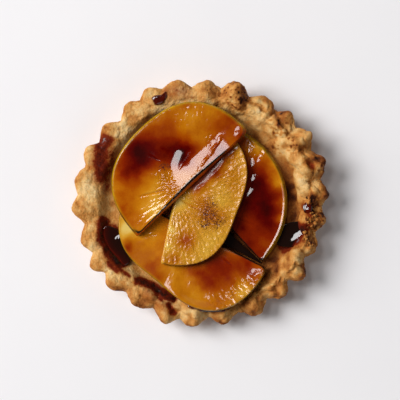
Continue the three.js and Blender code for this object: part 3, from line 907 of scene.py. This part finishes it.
# Pools are lenses: a smooth closed line, the level of its edge, a dome, and a tilt as rise
# along x and y. bumps tilt a part more: x, y, radius, rise along x and y. Where the pastry
# stands higher, it hides the lens. Syrup that is clear mm deep is as dark as it gets.
plainPool = {"tilt": (0, 0), "bumps": [], "clear": 2.4}  # where its own entry says nothing
pools = {
    "left": {"line": [(-43.5, -10.4), (-40, -10.4), (-37, -12.5), (-34.6, -19), (-32, -25),
                      (-35, -27.5), (-41, -26), (-45.5, -18)],
             "level": 12.7, "dome": 0.1, "bumps": [(-37.6, -15, 1.9, 0.15, -0.15)], "clear": 3.4},
    "right": {"line": [(31, -14.5), (35.5, -9.6), (40.5, -8), (45.4, -9), (46, -14),
                       (43.8, -18.2), (39.5, -19.2), (33, -18.4)],
              "level": 13.3, "dome": 0, "tilt": (0.09, 0.05),
              "bumps": [(42.6, -13.6, 9, 0.035, -0.175)], "clear": 2},
    "smallRight": {"line": [(43.8, -1.2), (46.2, 1.2), (47.8, -2), (46.4, -5.2), (44.4, -4)],
                   "level": 16.35, "dome": 0.4, "tilt": (0.05, -0.05),
                   "bumps": [(46.4, -1.6, 2.4, 0.11, -0.11)], "clear": 4},
    "drop": {"line": [(-22.6, 45.4), (-21.4, 47.2), (-18.2, 47.6), (-16.2, 49), (-15.6, 46.4),
                      (-17.6, 43.6), (-21, 43)],
             "level": 16.8, "dome": 0.9, "clear": 2.8},
    "lowerLeft": {"line": [(-31, -33.5), (-28, -33.5), (-22, -37), (-15, -43),
                           (-17, -44.5), (-24, -40.5)],
                  "level": 12.3, "dome": 0.2, "tilt": (0, -0.05)},
    "wedge": {"line": [(26, -26.4), (18, -19), (6, -8), (-2, -2), (-6, -8),
                       (6, -16), (18, -22.6)],
              "level": 12.7, "dome": 0.3},
    "front": {"line": [(-6.2, -44.6), (-3.4, -45.4), (2, -46.4), (9, -46.6), (9, -47.5),
                       (2, -47.6), (-4, -47), (-6.8, -45.8)],
              "level": 14.4, "dome": 0.6, "clear": 4},
}

poolShape = {"around": 144, "rings": 20, "depth": 2.2, "ripple": 0.05}  # depth and ripple in mm


# A pool's surface: a flat underside, and rings that shrink from the outline to the middle on
# a dome of 1 - out^4.
def poolSurface(pool):
    line = np.array(pool["line"], float)
    count = len(line)
    looped = np.concatenate([line[-2:], line, line[:3]])
    edge = betweenRows(looped, 2 + np.arange(poolShape["around"]) * count / poolShape["around"])
    if np.sum(edge[:, 0] * np.roll(edge[:, 1], -1) - edge[:, 1] * np.roll(edge[:, 0], -1)) < 0:
        edge = edge[::-1]
    middle = edge.mean(0)
    under = np.linspace(0.3, 1, 4)[:-1]
    out = np.concatenate([under, np.linspace(1, 0.05, poolShape["rings"])])
    flat = middle + out[:, None, None] * (edge - middle)
    x, y = flat[..., 0], flat[..., 1]
    top = np.arange(len(out))[:, None] >= len(under)
    slope = (x - middle[0]) * pool["tilt"][0] + (y - middle[1]) * pool["tilt"][1]
    for cx, cy, radius, slopeX, slopeY in pool["bumps"]:
        near = np.exp(-spotAway(x, y, cx, cy, radius))
        slope = slope + near * (slopeX * (x - cx) + slopeY * (y - cy))
    ripple = poolShape["ripple"] * drift(np.stack([x, y, 0 * x], -1), 3)
    crown = pool["dome"] * (1 - out[:, None] ** 4) + ripple
    z = pool["level"] + slope + np.where(top, crown, -poolShape["depth"])
    return np.stack([x, y, z], -1), middle


# Syrup: clear and red where it is thin, nearly black where it is deep.
def syrupMaterial():
    material, wire = newMaterial("caramelSyrup")
    depth = (wire.mark("depth") + 0.10 * wire.noise(1.2, 2.0)).clamp()
    colour = wire.ramp([
        (0.0, shade(104, 34, 8)), (0.16, shade(86, 18, 6)), (0.45, shade(52, 11, 6)),
        (1.0, shade(24, 11, 7)),
    ], depth)
    closeMaterial(wire, {
        "Base Color": colour,
        "Roughness": 0.3,
        "Specular IOR Level": 0.0,
        "Coat Weight": 1.0,
        "Coat Roughness": 0.03,
        "Coat IOR": 1.55,
        "Alpha": (depth * 4.0).clamp(),
        "Normal": wire.bump(wire.noise(2.0, 2.0), 0.15, 0.2),
    })
    return material


syrup = syrupMaterial()
for name, ownEntry in pools.items():
    pool = plainPool | ownEntry
    rings, middle = poolSurface(pool)
    depth = (rings[..., 2] - pastryHeight(rings[..., 0], rings[..., 1])) / pool["clear"]
    poles = [(*middle, rings[row, :, 2].mean()) for row in (0, -1)]
    piece = addSkin("syrupPool_" + name, rings, *poles, {"depth": withPoles(np.clip(depth, 0, 1))})
    piece.data.materials.append(syrup)
    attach(piece, "root")
print("syrup pools:", len(pools))


crumbLook = {
    "count": 62,
    "seed": 5,
    "radius": (0.35, 0.95),
    "sink": 0.5,  # share of each ball that lies in the pastry
    "dent": (0.45, 0.9),  # share of the radius, and size of the waves in radii
    # where they lie: x, y and spread
    "places": [(48.4, -4.4, 1.9), (49.6, -7.4, 1.7), (47.6, -10, 2), (46.2, -14.6, 2.2),
               (46.8, 1, 1.2), (47.4, -6.6, 1.6), (46, -18, 1.8)],
}


# Crumbs: balls of rings between two poles, dented by waves, on the pastry, in one mesh.
def addCrumbs():
    c = crumbLook
    dice = np.random.default_rng(c["seed"])
    place = np.array(c["places"])[dice.integers(len(c["places"]), size=c["count"])]
    x, y = (place[:, :2] + place[:, 2:] * dice.normal(size=(c["count"], 2)) * 0.7).T
    radius = dice.uniform(*c["radius"], c["count"])
    centre = np.stack([x, y, pastryHeight(x, y) + (1 - 2 * c["sink"]) * radius], -1)
    rise = np.radians([-55, -15, 25, 60])[:, None]
    turn = np.radians(np.arange(0, 360, 40))
    rings = [np.cos(rise) * np.cos(turn), np.cos(rise) * np.sin(turn), np.sin(rise) + 0 * turn]
    ball = np.concatenate([[(0, 0, -1)], np.stack(rings, -1).reshape(-1, 3), [(0, 0, 1)]])
    number = np.arange(c["count"])[:, None, None]
    deep, wide = c["dent"]
    dented = 1 + deep * drift(ball + 7.0 * number, wide, 3)
    points = ball * (dented * radius[:, None])[..., None] + centre[:, None]
    quads, triangles = skinFaces(len(rise), len(turn))
    quads = (quads + len(ball) * number).reshape(-1, 4)
    triangles = (triangles + len(ball) * number).reshape(-1, 3)
    tone = np.repeat(0.5 + 0.5 * dice.uniform(size=c["count"]) ** 2, len(ball))
    marks = {"brown": tone, "stain": 0 * tone, "mottle": 0 * tone + 1}
    return addFaces("crumbs", points.reshape(-1, 3), quads, triangles, marks)


crumbs = addCrumbs()
crumbs.data.materials.append(shell.data.materials[0])
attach(crumbs, "root")
print("crumbs:", crumbLook["count"])


stageLook = {
    "photoWidth": 175.6,  # mm across the picture at the rim's height
    "photoMiddle": (-1.32, 1.45),  # mm from the tart's middle
    "rimLevel": 14.0,
    "cameraHeight": 750.0,
    "tableHalf": 3,  # metres from its middle to its sides
    "table": shade(243, 241, 242),
    "ambient": 0.02,
    # direction in degrees anticlockwise from +X, elevation, distance and size in mm, watts
    "lights": {
        "key": (160, 46, 2400, 1250, 46.0),
        "wide": (165, 36, 2400, 1900, 26.0),
        "overhead": (135, 70, 2400, 440, 5.8),
        "roomBack": (85, 38, 1200, 900, 0.6),
        "roomRight": (5, 38, 1200, 900, 0.6),
        "roomFront": (-75, 38, 1200, 900, 1.6),
    },
}


def addTable():
    mesh = bpy.data.meshes.new("table")
    far = stageLook["tableHalf"]
    corners = [(-far, -far, 0), (far, -far, 0), (far, far, 0), (-far, far, 0)]
    mesh.from_pydata(corners, [], [(0, 1, 2, 3)])
    table = bpy.data.objects.new("table", mesh)
    bpy.context.collection.objects.link(table)
    material, wire = newMaterial("paleTable")
    tint = wire.blend(stageLook["table"], shade(238, 236, 238), (0.5 + wire.noise(60, 2.0)).clamp())
    closeMaterial(wire, {"Base Color": tint, "Roughness": 0.9, "Specular IOR Level": 0.1})
    mesh.materials.append(material)


# A round soft light that looks at the tart's middle.
def addLight(name, direction, elevation, distance, size, watts):
    data = bpy.data.lights.new(name, "AREA")
    data.shape = "DISK"
    data.size = size * mm
    data.energy = watts
    light = bpy.data.objects.new(name, data)
    turn, rise = math.radians(direction), math.radians(elevation)
    aim = np.array([math.cos(turn) * math.cos(rise), math.sin(turn) * math.cos(rise), math.sin(rise)])
    light.location = aim * distance * mm
    light.rotation_euler = (math.pi / 2 - rise, 0, turn + math.pi / 2)
    bpy.context.collection.objects.link(light)


# The camera looks straight down: lens = sensor width * height over the rim / width shown there.
def addCamera():
    s = stageLook
    data = bpy.data.cameras.new("camera")
    data.lens = data.sensor_width * (s["cameraHeight"] - s["rimLevel"]) / s["photoWidth"]
    camera = bpy.data.objects.new("camera", data)
    camera.location = [value * mm for value in (*s["photoMiddle"], s["cameraHeight"])]
    bpy.context.collection.objects.link(camera)
    bpy.context.scene.camera = camera


def setWorld():  # faint light from all round
    world = bpy.data.worlds.new("softRoom")
    world.use_nodes = True
    world.node_tree.nodes["Background"].inputs["Color"].default_value = shade(250, 248, 250)
    world.node_tree.nodes["Background"].inputs["Strength"].default_value = stageLook["ambient"]
    bpy.context.scene.world = world
    bpy.context.scene.view_settings.view_transform = "Standard"


addTable()
for name, settings in stageLook["lights"].items():
    addLight(name, *settings)
addCamera()
setWorld()
print("table, lights and camera set")
